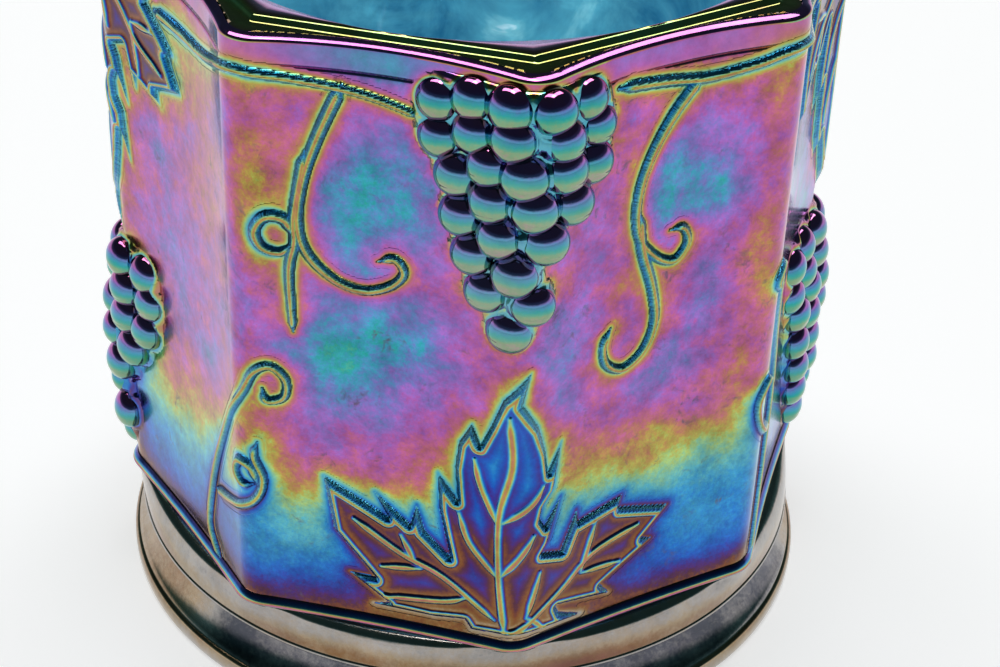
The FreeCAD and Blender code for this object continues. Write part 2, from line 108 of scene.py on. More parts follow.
def plan(across, share, rise=0.0):
    """Points round the octagon at a share of the wall's height, and which way they face.

    across is on the developed wall, from the front ridge. rise stands out along the normal.
    """
    across, share = np.broadcast_arrays(np.asarray(across, float), np.asarray(share, float))
    share = np.clip(share, 0.0, 1.0)
    reach = RIM_CORNER - WALL_DRAFT * (1 - share) - RIDGE_ROUND
    hollow = WALL_HOLLOW + (RIM_HOLLOW - WALL_HOLLOW) * share
    middle = reach * math.cos(HALF_FACET) + RIDGE_ROUND - hollow
    hub = (reach ** 2 + middle ** 2 - RIDGE_ROUND ** 2
           - 2 * middle * reach * math.cos(HALF_FACET)) / (2 * hollow)
    away = middle + hub
    swing = np.arctan2(away * math.sin(HALF_FACET), away * math.cos(HALF_FACET) - reach)
    length = RIDGE_ROUND * swing + hub * (swing - HALF_FACET)
    ridge = np.round(across / PITCH)
    local = across - ridge * PITCH
    run = np.abs(local) / HALF_PITCH * length
    on_ridge = run < RIDGE_ROUND * swing
    facing = np.where(on_ridge, run / RIDGE_ROUND, swing - (run - RIDGE_ROUND * swing) / hub)
    x = np.where(on_ridge, RIDGE_ROUND * np.sin(facing),
                 away * math.sin(HALF_FACET) - hub * np.sin(facing))
    y = np.where(on_ridge, reach + RIDGE_ROUND * np.cos(facing),
                 away * math.cos(HALF_FACET) - hub * np.cos(facing))
    sign = np.where(local < 0, -1.0, 1.0)
    turn = ridge * 2 * HALF_FACET
    x = x * sign
    facing = facing * sign + turn
    east = x * np.cos(turn) + y * np.sin(turn) + rise * np.sin(facing)
    south = y * np.cos(turn) - x * np.sin(turn) + rise * np.cos(facing)
    return east, -south, facing


def on_wall(across, up, rise=0.0):
    """3-D points in metres of points drawn on the developed wall."""
    x, y, _ = plan(across, np.asarray(up) / WALL_HEIGHT, rise)
    z = np.broadcast_to(np.asarray(up, float) + WALL_FOOT, x.shape)
    return np.stack([x, y, z], -1) * MM


# ---------------------------------------------------------------- the ornament's drawing

# The centres of a cluster's grapes, row by row from the top.
GRAPES = [
    (-16.8, 107.9), (-11.0, 109.4), (-4.4, 109.5), (2.2, 109.3), (9.4, 109.0),
    (-16.3, 101.6), (-10.4, 103.9), (-3.5, 104.5), (3.9, 103.9), (11.2, 104.0),
    (-13.0, 95.8), (-7.5, 99.0), (-1.7, 98.3), (4.3, 98.4), (10.4, 97.7),
    (-6.7, 92.8), (-0.3, 92.5), (6.0, 92.0),
    (-12.0, 88.8), (-5.1, 86.6), (1.4, 86.3),
    (-9.8, 82.0), (-2.5, 79.9),
    (-7.4, 75.3), (0.2, 74.1),
    (-3.4, 68.1),
]
LOW_CLUSTER_DROP = 62.0
# The middle of a cluster, and how far from it across and up the swelling ends.
CLUSTER_MIDDLE = (-2.0, 91.0)
SWELL_ACROSS = 17.0
SWELL_UP = 24.0

# A vine leaf: its outline from the tip down the left edge to the stalk, then up the right edge.
LEAF = [
    (0.8, 60.0), (-3.8, 54.0), (-5.7, 48.5), (-7.6, 43.8), (-9.3, 47.6), (-11.5, 43.4),
    (-12.1, 38.0), (-11.4, 31.0), (-15.2, 35.8), (-14.7, 28.4), (-12.4, 18.2), (-17.3, 22.8),
    (-18.9, 28.0), (-20.0, 23.6), (-26.6, 29.0), (-24.0, 24.2), (-36.0, 30.8), (-34.0, 19.6),
    (-26.2, 10.4), (-31.2, 10.6), (-23.6, 5.2), (-26.6, 4.4), (-15.2, 4.2), (-9.3, 5.0),
    (-8.0, 3.0), (-1.6, 3.4), (7.0, 3.0), (14.0, 2.9), (9.0, 5.2), (8.2, 7.2),
    (20.0, 5.4), (17.8, 8.2), (28.6, 14.6), (26.4, 15.6), (31.8, 21.0), (21.0, 24.2),
    (21.6, 26.6), (12.2, 24.4), (11.9, 27.2), (8.8, 19.2), (4.4, 20.6), (5.8, 22.8),
    (8.3, 31.6), (4.9, 26.4), (3.8, 28.4), (4.3, 31.2), (6.5, 34.0), (7.8, 43.4),
    (5.0, 38.0), (4.2, 43.0), (2.6, 48.4), (-0.4, 53.5),
]
VEINS = [
    [(-2.3, 51.0), (-1.6, 41.0), (-3.4, 30.0), (-3.1, 17.0), (-1.8, 4.4)],
    [(-8.3, 41.0), (-7.0, 35.8), (-3.7, 28.3)],
    [(3.5, 36.1), (1.7, 32.9), (-2.8, 28.8)],
    [(-10.8, 28.9), (-8.6, 22.8), (-3.2, 16.5)],
    [(2.2, 25.8), (0.2, 21.7), (-2.8, 16.9)],
    [(-30.2, 23.2), (-21.3, 17.5), (-13.4, 14.1), (-3.5, 6.9)],
    [(-21.4, 21.5), (-18.5, 15.8)],
    [(-25.0, 13.8), (-17.6, 14.9)],
    [(-24.0, 7.2), (-13.3, 8.7), (-8.8, 10.6)],
    [(25.0, 19.6), (15.1, 16.7), (8.6, 11.0), (-1.6, 3.6)],
    [(15.4, 23.0), (12.8, 13.5)],
    [(21.3, 12.7), (13.0, 13.2)],
    [(3.8, 17.0), (1.6, 7.9)],
    [(1.6, 7.6), (5.4, 3.8)],
]
# A hanging leaf is the standing one turned over and made a little narrower and shorter.
HANGING_LEAF_TOP = 112.0
HANGING_LEAF_ACROSS = 0.80
HANGING_LEAF_UP = -0.98

# The middle lines of the vines and tendrils, each from its root to its tip.
HANGING_LEFT = [
    [(-32.6, 107.6), (-36.5, 98.0), (-39.0, 90.0), (-40.0, 82.0), (-38.5, 76.0), (-34.0, 71.5),
     (-29.0, 70.0), (-24.5, 71.5), (-22.0, 74.5), (-23.5, 77.0), (-26.5, 76.0)],
    [(-38.5, 95.0), (-40.5, 83.0), (-40.5, 78.0), (-41.5, 72.0), (-41.0, 60.0)],
    [(-40.5, 79.0), (-42.2, 82.0), (-45.4, 82.2), (-47.2, 79.4), (-46.0, 76.4), (-43.0, 75.6),
     (-40.8, 77.4)],
]
HANGING_RIGHT = [
    [(32.0, 107.0), (27.0, 101.0), (23.0, 94.0), (21.0, 87.0), (21.5, 80.0), (25.0, 75.0),
     (29.0, 73.0), (31.5, 76.0), (30.5, 79.0), (28.0, 79.0)],
    [(21.5, 84.0), (22.5, 77.0), (25.0, 69.0), (26.0, 62.0), (24.0, 56.5), (20.0, 54.0),
     (16.5, 56.0), (15.5, 60.0), (17.0, 63.0)],
]
VINE = [
    [(-33.5, 103.5), (-14.5, 104.5), (-1.5, 108.6), (5.5, 108.4), (20.5, 106.6), (31.0, 104.0)],
]
VINE_RIGHT = [
    [(-34.5, 108.6), (-25.5, 107.5), (-17.3, 106.4), (-8.5, 107.3), (-1.5, 109.0), (8.0, 108.4),
     (20.0, 106.0), (34.0, 103.6)],
]
CLIMBING = [
    [(-11.5, 1.0), (-16.0, 6.4), (-14.8, 15.0), (-11.5, 25.0), (-5.5, 37.0), (0.0, 46.0),
     (2.4, 51.0), (5.4, 52.5), (8.0, 50.0), (7.6, 46.4), (4.6, 45.4), (3.8, 47.8)],
    [(-12.5, 17.0), (-4.5, 19.5), (1.5, 23.0), (3.5, 28.0), (2.0, 33.0), (2.6, 36.0)],
    [(2.6, 27.0), (1.4, 30.4), (-1.4, 30.8), (-2.4, 28.2), (-0.6, 26.2), (1.8, 26.8)],
]
CLIMBING_TALL = [
    [(2.4, 1.0), (6.6, 8.0), (12.0, 20.0), (16.0, 33.0), (12.0, 46.0), (8.0, 56.0),
     (6.6, 62.0), (3.6, 65.2), (0.6, 63.2), (1.6, 60.2)],
    [(13.6, 24.0), (6.0, 27.6), (0.6, 32.0), (-1.0, 38.0), (1.6, 41.6), (4.6, 39.6)],
]
VINE_WIDTH = 2.5
TENDRIL_WIDTH = 2.7


def smooth_line(points, per_span=9):
    """A Catmull-Rom curve through drawn points."""
    p = np.array(points, float)
    p = np.vstack([2 * p[0] - p[1], p, 2 * p[-1] - p[-2]])
    t = np.linspace(0, 1, per_span, endpoint=False)[:, None]
    out = []
    for a, b, c, d in zip(p[:-3], p[1:-2], p[2:-1], p[3:]):
        out.append(0.5 * (2 * b + (c - a) * t + (2 * a - 5 * b + 4 * c - d) * t ** 2
                          + (3 * b - a - 3 * c + d) * t ** 3))
    return np.vstack(out + [p[-2:-1]])


def to_line(points, line):
    """For each point: its distance to a polyline and how far along; and the whole length."""
    best = np.full(len(points), 1e9)
    along = np.zeros(len(points))
    start = 0.0
    for a, b in zip(line[:-1], line[1:]):
        step = b - a
        length = float(np.hypot(*step)) + 1e-9
        offset = points - a
        share = np.clip((offset @ step) / length ** 2, 0, 1)
        gap = np.hypot(offset[:, 0] - share * step[0], offset[:, 1] - share * step[1])
        nearer = gap < best
        best[nearer] = gap[nearer]
        along[nearer] = start + share[nearer] * length
        start += length
    return best, along, start


def inside(points, outline):
    """Which points lie inside a closed outline, by counting crossings."""
    found = np.zeros(len(points), bool)
    for a, b in zip(outline, np.roll(outline, -1, 0)):
        spans = (a[1] > points[:, 1]) != (b[1] > points[:, 1])
        with np.errstate(divide="ignore", invalid="ignore"):
            cut = a[0] + (points[:, 1] - a[1]) * (b[0] - a[0]) / (b[1] - a[1])
        found ^= spans & (points[:, 0] < cut)
    return found


def ramp(value, low, high):
    """0 below low, 1 above high, and smooth in between."""
    t = np.clip((value - low) / (high - low), 0, 1)
    return t * t * (3 - 2 * t)


# Each of the functions below gives, for points drawn near a piece: how high the piece stands,
# how far outside its foot they are, a film order for the piece itself, its share of that order,
# the run along the piece's edge, and how much of a cut flank they are on.

def stem_relief(points, stems, width, height):
    """Ridges with a sharp crest that thin out towards their tips."""
    total = np.full(len(points), -1e9)
    rise = np.zeros(len(points))
    outside = np.full(len(points), 1e9)
    run = np.zeros(len(points))
    flank = np.zeros(len(points))
    for stem in stems:
        gap, along, length = to_line(points, smooth_line(stem))
        taper = 1 - 0.35 * along / length
        tip = (ramp(length - along, 0.0, 2.2) * 0.75 + 0.25) * (ramp(along, 0.0, 2.5) * 0.6 + 0.4)
        half = width / 2 * taper * tip
        share = 1 - gap / half
        lift = height * tip * np.where(share > 0, share, 0)
        lift = np.where(share > 0.82, height * tip * (0.82 + (share - 0.82) * 0.5), lift)
        higher = share > total
        total[higher] = share[higher]
        rise = np.maximum(rise, lift)
        outside = np.minimum(outside, gap - half)
        run[higher] = along[higher]
        flank[higher] = (ramp(share, 0.02, 0.2) * (1 - ramp(share, 0.7, 0.85)))[higher]
    order = 5.4 + 5.2 * np.clip(rise / height, 0, 1) ** 2.5
    return rise, np.maximum(outside, 0), order, ramp(rise / height, 0.02, 0.25), run, flank


def leaf_relief(points, outline, veins, up_scale):
    """A plateau with cut edges, sharp round its outline, with raised veins.

    up_scale is how the leaf's height was scaled from LEAF, negative for a hanging leaf.
    """
    closed = np.vstack([outline, outline[:1]])
    gap, along, _ = to_line(points, closed)
    within = inside(points, outline)
    depth = np.where(within, gap, -gap)
    edge = np.clip(depth / LEAF_EDGE_WIDTH, 0, 1)
    dish = ramp(depth, LEAF_EDGE_WIDTH, LEAF_EDGE_WIDTH + 1.0) * LEAF_DISH
    rise = np.where(within, LEAF_RISE * edge - dish, 0.0)
    vein_gap = np.full(len(points), 1e9)
    for vein in veins:
        line = smooth_line(vein, 5)
        near, vein_run, length = to_line(points, line)
        near = near + 0.35 * ramp(length - vein_run, 3.0, 0.0) + 0.3 * ramp(vein_run, 3.0, 0.0)
        vein_gap = np.minimum(vein_gap, near)
    vein = np.clip(1 - vein_gap / VEIN_HALF_WIDTH, 0, 1) * within
    veined = np.minimum(rise + vein * VEIN_RISE, LEAF_RISE + 0.1)
    rise = np.where(within, np.maximum(rise, veined), 0.0)
    # The film pools between the veins, and thins out next to them.
    fall = (points[:, 1] - outline[0, 1]) / up_scale
    pool = np.interp(fall, [-56, -50, -44, -36, -30, -20, -8, 0],
                     [2.6, 3.2, 3.4, 3.6, 4.7, 5.2, 5.7, 6.4])
    near = np.minimum(vein_gap, np.maximum(depth - LEAF_EDGE_WIDTH, 0))
    order = pool - 2.6 * np.exp(-near / 1.25) + 0.9 * ramp(near, 1.5, 4.0)
    crest = np.exp(-((depth - LEAF_EDGE_WIDTH) / 0.42) ** 2)
    order = order + crest * (9.6 - order)
    order = order + ramp(vein, 0.0, 0.9) * (9.4 - order)
    outer = ramp(LEAF_EDGE_WIDTH - depth, 0.1, 0.9)
    order = order + outer * (6.6 - order)
    flank = ramp(depth, 0.05, 0.3) * (1 - ramp(depth, 0.85, 1.15))
    return rise, np.maximum(-depth, 0), order, within * 1.0, along, flank


def swell(across, up, low):
    """How far a cluster swells out of the wall at a point of its drawing."""
    middle_up = CLUSTER_MIDDLE[1] - (LOW_CLUSTER_DROP if low else 0.0)
    off = ((across - CLUSTER_MIDDLE[0]) / SWELL_ACROSS) ** 2 + ((up - middle_up) / SWELL_UP) ** 2
    return CLUSTER_SWELL * np.maximum(0.0, 1 - off)


def grape_foot(points, centres):
    """The low web of glass between and round the grapes of a cluster."""
    nearest = np.full(len(points), 1e9)
    second = np.full(len(points), 1e9)
    for centre in centres:
        gap = np.hypot(points[:, 0] - centre[0], points[:, 1] - centre[1])
        second = np.minimum(second, np.maximum(nearest, gap))
        nearest = np.minimum(nearest, gap)
    outside = nearest - GRAPE_RADIUS
    rise = WEB_RISE * ramp(second, GRAPE_RADIUS * 1.9, GRAPE_RADIUS * 1.1)
    rise = rise + WEB_LIP * ramp(outside, 0.6, -0.3)
    low = centres is LOW_GRAPES
    rise = rise + swell(points[:, 0], points[:, 1], low) * ramp(outside, 0.2, -1.4)
    order = np.full(len(points), 6.4)
    zero = np.zeros(len(points))
    return rise, np.maximum(outside, 0), order, ramp(outside, 0.5, -0.2) * 0.8, zero, zero


def hung(points):
    """A standing leaf's points, turned over for a hanging leaf."""
    return [(across * HANGING_LEAF_ACROSS, up * HANGING_LEAF_UP + HANGING_LEAF_TOP)
            for across, up in points]


HANGING_LEAF = hung(LEAF)
HANGING_VEINS = [hung(vein) for vein in VEINS]
LOW_GRAPES = [(across, up - LOW_CLUSTER_DROP) for across, up in GRAPES]
# Every piece of the ornament: node, ridge that it is centred on, kind, and its drawing.
ORNAMENT = [
    ("cluster_front", 0, "grapes", GRAPES), ("cluster_back", 4, "grapes", GRAPES),
    ("cluster_right", 2, "grapes", LOW_GRAPES), ("cluster_left", 6, "grapes", LOW_GRAPES),
    ("leaf_front", 0, "leaf", (LEAF, VEINS)), ("leaf_back", 4, "leaf", (LEAF, VEINS)),
    ("leaf_right", 2, "leaf", (HANGING_LEAF, HANGING_VEINS)),
    ("leaf_left", 6, "leaf", (HANGING_LEAF, HANGING_VEINS)),
    ("vine_front_left", 7, "vine", VINE), ("vine_back_right", 3, "vine", VINE),
    ("vine_front_right", 1, "vine", VINE_RIGHT), ("vine_back_left", 5, "vine", VINE_RIGHT),
    ("climber_front_left", 7, "tendril", CLIMBING), ("climber_back_right", 3, "tendril", CLIMBING),
    ("climber_front_right", 1, "tendril", CLIMBING_TALL),
    ("climber_back_left", 5, "tendril", CLIMBING_TALL),
    ("tendril_front_left", 0, "tendril", HANGING_LEFT),
    ("tendril_back_right", 4, "tendril", HANGING_LEFT),
    ("tendril_front_right", 0, "tendril", HANGING_RIGHT),
    ("tendril_back_left", 4, "tendril", HANGING_RIGHT),
]


def relief(kind, drawing, points):
    """The relief of one piece of ornament, at points in its own ridge's drawing."""
    if kind == "grapes":
        return grape_foot(points, drawing)
    if kind == "leaf":
        outline, veins = drawing
        up_scale = HANGING_LEAF_UP if outline is HANGING_LEAF else 1.0
        return leaf_relief(points, np.array(outline), veins, up_scale)
    width = VINE_WIDTH if kind == "vine" else TENDRIL_WIDTH
    return stem_relief(points, drawing, width, VINE_RISE)


DRAWING_MARGIN = 1.5


def extent(kind, drawing):
    """The lowest and highest (across, up) of a drawing."""
    if kind == "grapes":
        spots = np.array(drawing)
        return spots.min(0) - GRAPE_RADIUS, spots.max(0) + GRAPE_RADIUS
    if kind == "leaf":
        spots = np.array(drawing[0])
    else:
        spots = np.vstack([smooth_line(stem) for stem in drawing])
    return spots.min(0) - DRAWING_MARGIN, spots.max(0) + DRAWING_MARGIN


# ---------------------------------------------------------------- the film

# How far from an ornament's foot its halo in the wall's film is felt.
HALO_REACH = 9.0
POOL_STRENGTH = 1.25
# The film's order by height over the ledge: brown, blue, yellow, then purple.
FILM_BY_HEIGHT = (
    [0, 2, 4, 6, 8, 12, 17, 21, 24, 27, 30, 34, 38, 45, 70, 116],
    [2.2, 2.8, 3.5, 4.3, 4.9, 5.5, 6.3, 7.1, 7.8, 8.6, 9.3, 10.2, 10.9, 11.5, 11.4, 11.2],
)
# Pools of thicker or thinner film: (across from the front or back ridge, up, half width,
# half height, how much thicker).
POOLS = [
    (-28, 60, 14, 10, 2.2), (-27, 87, 11, 16, 2.1), (-34, 50, 10, 7, 1.0), (-22, 112, 20, 5, 1.9),
    (31, 86, 10, 11, 1.7), (7, 67, 7, 11, 1.0), (26, 62, 9, 8, 0.5), (22, 112, 10, 5, 0.7),
    (-47, 85, 5, 30, -0.7), (47, 75, 6, 40, -0.9), (-12, 62, 8, 14, -0.5), (0, 50, 12, 8, -0.8),
    (88, 58, 16, 18, 1.3), (-62, 75, 12, 20, -0.6), (65, 85, 12, 18, 0.6), (-75, 100, 14, 10, -0.9),
]


def halo(across, up):
    """How near each point of the developed wall is to the foot of any ornament, in mm."""
    nearest = np.full(across.shape, HALO_REACH)
    for _, ridge, kind, drawing in ORNAMENT:
        low, high = extent(kind, drawing)
        local = (across - ridge * PITCH + AROUND / 2) % AROUND - AROUND / 2
        close = ((local > low[0] - HALO_REACH) & (local < high[0] + HALO_REACH)
                 & (up > low[1] - HALO_REACH) & (up < high[1] + HALO_REACH))
        if not close.any():
            continue
        points = np.stack([local[close], up[close]], -1)
        outside = relief(kind, drawing, points)[1]
        nearest[close] = np.minimum(nearest[close], outside)
    return nearest


def wall_film(across, up):
    """The film's order on the bare wall."""
    panel = (across + 2 * PITCH) % (4 * PITCH) - 2 * PITCH
    turn = across / AROUND * 2 * math.pi
    climb = 5.5 * ramp(panel, 2, 18) * (1 - ramp(panel, 60, 80)) * ramp(up, 12, 26)
    wave = 1.6 * np.sin(3 * turn + 0.6) + 1.1 * np.sin(7 * turn + 2.0)
    order = np.interp(up - climb - wave * ramp(up, 6, 20), *FILM_BY_HEIGHT)
    for middle, height, wide, tall, amount in POOLS:
        away = ((panel - middle) / wide) ** 2 + ((up - height) / tall) ** 2
        order = order + POOL_STRENGTH * amount * np.exp(-away)
    near = halo(across, up)
    return order - 2.9 * np.exp(-near / 0.9) * ramp(order, 0.0, 7.0) - 1.3 * np.exp(-near / 3.5)


# ---------------------------------------------------------------- materials

# Interference colours in order of film thickness: (order, red, green, blue) as seen by daylight.
FILM_COLOURS = [
    (0.0, 60, 66, 74), (0.7, 168, 164, 158), (1.3, 168, 148, 116), (1.9, 138, 98, 46),
    (2.4, 126, 70, 32), (2.9, 86, 38, 58), (3.4, 78, 32, 110), (3.9, 56, 44, 142),
    (4.5, 18, 76, 178), (5.2, 0, 108, 194), (6.0, 40, 148, 200), (6.8, 86, 178, 188),
    (7.5, 126, 190, 156), (8.1, 164, 194, 108), (8.6, 180, 168, 72), (9.2, 184, 134, 78),
    (9.8, 184, 104, 108), (10.4, 188, 96, 144), (11.0, 172, 90, 172), (11.6, 154, 102, 190),
    (12.2, 124, 110, 188), (12.8, 92, 130, 190), (13.4, 56, 154, 186), (14.0, 28, 162, 158),
    (14.6, 72, 168, 140), (15.3, 134, 166, 120), (16.0, 184, 140, 150),
]
LAST_ORDER = 16.0


def linear(channel):
    """A display colour channel, 0 to 255, as scene-linear light."""
    c = channel / 255
    return c / 12.92 if c <= 0.04045 else ((c + 0.055) / 1.055) ** 2.4


class Nodes:
    """Short calls for wiring a material's nodes."""

    def __init__(self, name):
        self.material = bpy.data.materials.new(name)
        self.material.use_nodes = True
        self.tree = self.material.node_tree
        self.tree.nodes.clear()

    def add(self, kind, **settings):
        node = self.tree.nodes.new(kind)
        for key, setting in settings.items():
            setattr(node, key, setting)
        return node

    def link(self, source, target):
        self.tree.links.new(source, target)

    def math(self, operation, a, b=0.0, clamp=False):
        node = self.add("ShaderNodeMath", operation=operation, use_clamp=clamp)
        for socket, value in zip(node.inputs, (a, b)):
            if isinstance(value, (int, float)):
                socket.default_value = value
            else:
                self.link(value, socket)
        return node.outputs[0]

    def noise(self, vector, scale, detail, roughness=0.55, distortion=0.0):
        node = self.add("ShaderNodeTexNoise")
        node.inputs["Scale"].default_value = scale
        node.inputs["Detail"].default_value = detail
        node.inputs["Roughness"].default_value = roughness
        node.inputs["Distortion"].default_value = distortion
        self.link(vector, node.inputs["Vector"])
        return node.outputs["Fac"]


def film_material(name, cloud, grain, roughness, stain=0.5, peel=0.10, striae=0.0,
                  veil=0.25, shade=0.3):
    """Glass under an iridescent film, whose order comes from the mesh and wanders in clouds."""
    n = Nodes(name)
    shader = n.add("ShaderNodeBsdfPrincipled")
    output = n.add("ShaderNodeOutputMaterial")
    n.link(shader.outputs[0], output.inputs[0])
    place = n.add("ShaderNodeTexCoord").outputs["Object"]
    film = n.add("ShaderNodeAttribute", attribute_name="film").outputs["Fac"]

    clouds = n.noise(place, 80.0, 9.0, 0.68, 0.15)
    wisps = n.noise(place, 170.0, 9.0, 0.75, 0.3)
    fine = n.noise(place, 1300.0, 4.0, 0.75)
    drift = n.math("MULTIPLY", n.math("SUBTRACT", clouds, 0.5), cloud * 9.0)
    curl = n.math("MULTIPLY", n.math("SUBTRACT", wisps, 0.5), cloud * 3.2)
    speckle = n.math("MULTIPLY", n.math("SUBTRACT", fine, 0.5), grain * 4.0)
    # The thin orders low on the wall change colour fast, so they wander less.
    thick = n.math("MULTIPLY", n.math("SUBTRACT", film, 5.5), 0.22, clamp=True)
    swing = n.math("ADD", n.math("MULTIPLY", thick, 0.7), 0.3)
    wander = n.math("MULTIPLY", n.math("ADD", drift, curl), swing)
    order = n.math("ADD", n.math("ADD", film, wander), speckle)
    share = n.math("DIVIDE", order, LAST_ORDER, clamp=True)

    colours = n.add("ShaderNodeValToRGB")
    band = colours.color_ramp
    band.interpolation = "LINEAR"
    while len(band.elements) < len(FILM_COLOURS):
        band.elements.new(0.5)
    for element, (at, red, green, blue) in zip(band.elements, FILM_COLOURS):
        element.position = at / LAST_ORDER
    for element, (at, red, green, blue) in zip(band.elements, FILM_COLOURS):
        element.color = (linear(red), linear(green), linear(blue), 1.0)
    n.link(share, colours.inputs[0])

    # Grey stains, where the film is dull.
    spots = n.noise(place, 420.0, 5.0, 0.65, 0.8)
    patches = n.noise(place, 120.0, 3.0)
    dull = n.math("MULTIPLY", n.math("SUBTRACT", spots, 0.56, clamp=True), 7.0, clamp=True)
    where = n.math("MULTIPLY", n.math("SUBTRACT", patches, 0.46, clamp=True), 6.0, clamp=True)
    dull = n.math("MULTIPLY", n.math("MULTIPLY", dull, where), stain)
    stained = n.add("ShaderNodeMixRGB", blend_type="MIX")
    n.link(dull, stained.inputs[0])
    n.link(colours.outputs[0], stained.inputs[1])
    stained.inputs[2].default_value = (0.10, 0.08, 0.13, 1.0)
    # A thin milky veil, thicker in places, and cloudy light and dark.
    haze = n.noise(place, 40.0, 6.0, 0.6, 0.2)
    veiled = n.add("ShaderNodeMixRGB", blend_type="MIX")
    n.link(n.math("MULTIPLY", n.math("SUBTRACT", haze, 0.32, clamp=True), veil * 2.0, clamp=True),
           veiled.inputs[0])
    n.link(stained.outputs[0], veiled.inputs[1])
    veiled.inputs[2].default_value = (0.42, 0.36, 0.46, 1.0)
    smoke = n.noise(place, 150.0, 9.0, 0.75, 0.2)
    depth = n.math("ADD", n.math("MULTIPLY", n.math("SUBTRACT", smoke, 0.5), shade * 4.0), 0.97)
    grey = n.add("ShaderNodeCombineXYZ")
    for channel in grey.inputs:
        n.link(depth, channel)
    shaded = n.add("ShaderNodeMixRGB", blend_type="MULTIPLY")
    shaded.inputs[0].default_value = 1.0
    n.link(veiled.outputs[0], shaded.inputs[1])
    n.link(grey.outputs[0], shaded.inputs[2])
    n.link(shaded.outputs[0], shader.inputs["Base Color"])

    gloss = n.math("ADD", n.math("MULTIPLY", fine, 0.08), roughness - 0.04)
    n.link(n.math("ADD", gloss, n.math("MULTIPLY", dull, 0.12)), shader.inputs["Roughness"])
    shader.inputs["Metallic"].default_value = 1.0
    shader.inputs["Coat Weight"].default_value = 0.3
    shader.inputs["Coat Roughness"].default_value = 0.06
    shader.inputs["Coat IOR"].default_value = 1.45

    skin = n.add("ShaderNodeBump")
    skin.inputs["Strength"].default_value = peel
    skin.inputs["Distance"].default_value = 0.0004
    n.link(n.noise(place, 330.0, 3.0), skin.inputs["Height"])
    last = skin
    if striae:
        run = n.add("ShaderNodeAttribute", attribute_name="run").outputs["Fac"]
        flank = n.add("ShaderNodeAttribute", attribute_name="flank").outputs["Fac"]
        lane = n.add("ShaderNodeCombineXYZ")
        n.link(n.math("MULTIPLY", run, 1.7), lane.inputs[0])
        cuts = n.noise(lane.outputs[0], 1.0, 4.0, 0.7)
        cut = n.add("ShaderNodeBump")
        cut.inputs["Strength"].default_value = striae
        cut.inputs["Distance"].default_value = 0.0006
        n.link(n.math("MULTIPLY", cuts, flank), cut.inputs["Height"])
        n.link(skin.outputs[0], cut.inputs["Normal"])
        last = cut
    n.link(last.outputs[0], shader.inputs["Normal"])
    return n.material


WALL_GLASS = film_material("wall_film", cloud=0.85, grain=0.45, roughness=0.17, stain=0.8,
                           veil=0.07, shade=0.45)
RELIEF_GLASS = film_material("relief_film", cloud=0.35, grain=0.25, roughness=0.07, stain=0.15,
                             peel=0.05, striae=1.0, veil=0.1, shade=0.3)
GRAPE_GLASS = film_material("grape_film", cloud=0.22, grain=0.25, roughness=0.07, stain=0.1,
                            peel=0.12, veil=0.3, shade=0.15)
RIM_GLASS = film_material("rim_film", cloud=0.3, grain=0.12, roughness=0.08, stain=0.2, peel=0.05)
FOOT_GLASS = film_material("foot_film", cloud=0.5, grain=0.2, roughness=0.13, stain=0.1, shade=0.25)
FLOOR_GLASS = film_material("floor_film", cloud=0.5, grain=0.2, roughness=0.12, peel=0.3)


def lining_material():
    """The jar's inside: clear teal glass over its film, lit by a painted glow that stands in for the
    light it gathers, with painted reflections in near-white patches.
    """
    n = Nodes("lining")
    shader = n.add("ShaderNodeBsdfPrincipled")
    output = n.add("ShaderNodeOutputMaterial")
    n.link(shader.outputs[0], output.inputs[0])
    place = n.add("ShaderNodeTexCoord").outputs["Object"]
    broad = n.noise(place, 45.0, 5.0, 0.6, 0.7)
    teal_and_painted_glow = n.add("ShaderNodeValToRGB")
    n.link(broad, teal_and_painted_glow.inputs[0])
    while len(teal_and_painted_glow.color_ramp.elements) < 4:
        teal_and_painted_glow.color_ramp.elements.new(0.5)
    # Dark to pale teal, and at the top a near-white tone: painted reflections in patches.
    teal_and_painted_reflection_tones = ((0.30, 24, 92, 128), (0.55, 84, 160, 180), (0.63, 130, 196, 206),
             (0.68, 236, 246, 250))
    for element, (at, red, green, blue) in zip(teal_and_painted_glow.color_ramp.elements, teal_and_painted_reflection_tones):
        element.position = at
        element.color = (linear(red), linear(green), linear(blue), 1.0)
    n.link(teal_and_painted_glow.outputs[0], shader.inputs["Base Color"])
    # Painted glow: the lining gives off its own colours as light, though it is no lamp.
    n.link(teal_and_painted_glow.outputs[0], shader.inputs["Emission Color"])
    shader.inputs["Emission Strength"].default_value = 0.6
    shader.inputs["Metallic"].default_value = 0.55
    shader.inputs["Roughness"].default_value = 0.12
    shader.inputs["Coat Weight"].default_value = 1.0
    shader.inputs["Coat Roughness"].default_value = 0.04
    ripple = n.add("ShaderNodeBump")
    ripple.inputs["Strength"].default_value = 0.45
    ripple.inputs["Distance"].default_value = 0.002
    n.link(n.noise(place, 60.0, 3.0, 0.5), ripple.inputs["Height"])
    n.link(ripple.outputs[0], shader.inputs["Normal"])
    return n.material


LINING_GLASS = lining_material()


# ---------------------------------------------------------------- mesh building

def add_piece(name, points, faces, film, material, node, run=None, flank=None, lined=None):
    """A smooth closed mesh with its film, riding on the jar in the place of its CAD node.

    lined tells for each face whether it belongs to the jar's inside.
    """
    mesh = bpy.data.meshes.new(name)
    mesh.from_pydata(points.tolist(), [], faces.tolist() if hasattr(faces, "tolist") else faces)
    mesh.update()
    for key, values in (("film", film), ("run", run), ("flank", flank)):
        if values is not None:
            layer = mesh.attributes.new(key, "FLOAT", "POINT")
            layer.data.foreach_set("value", np.asarray(values, np.float32))
    mesh.polygons.foreach_set("use_smooth", np.ones(len(mesh.polygons), bool))
    piece = bpy.data.objects.new(name, mesh)
    bpy.context.scene.collection.objects.link(piece)
    mesh.materials.append(material)
    if lined is not None:
        mesh.materials.append(LINING_GLASS)
        mesh.polygons.foreach_set("material_index", np.asarray(lined, np.int32))
    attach(piece, "root")
    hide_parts(node)
    return piece


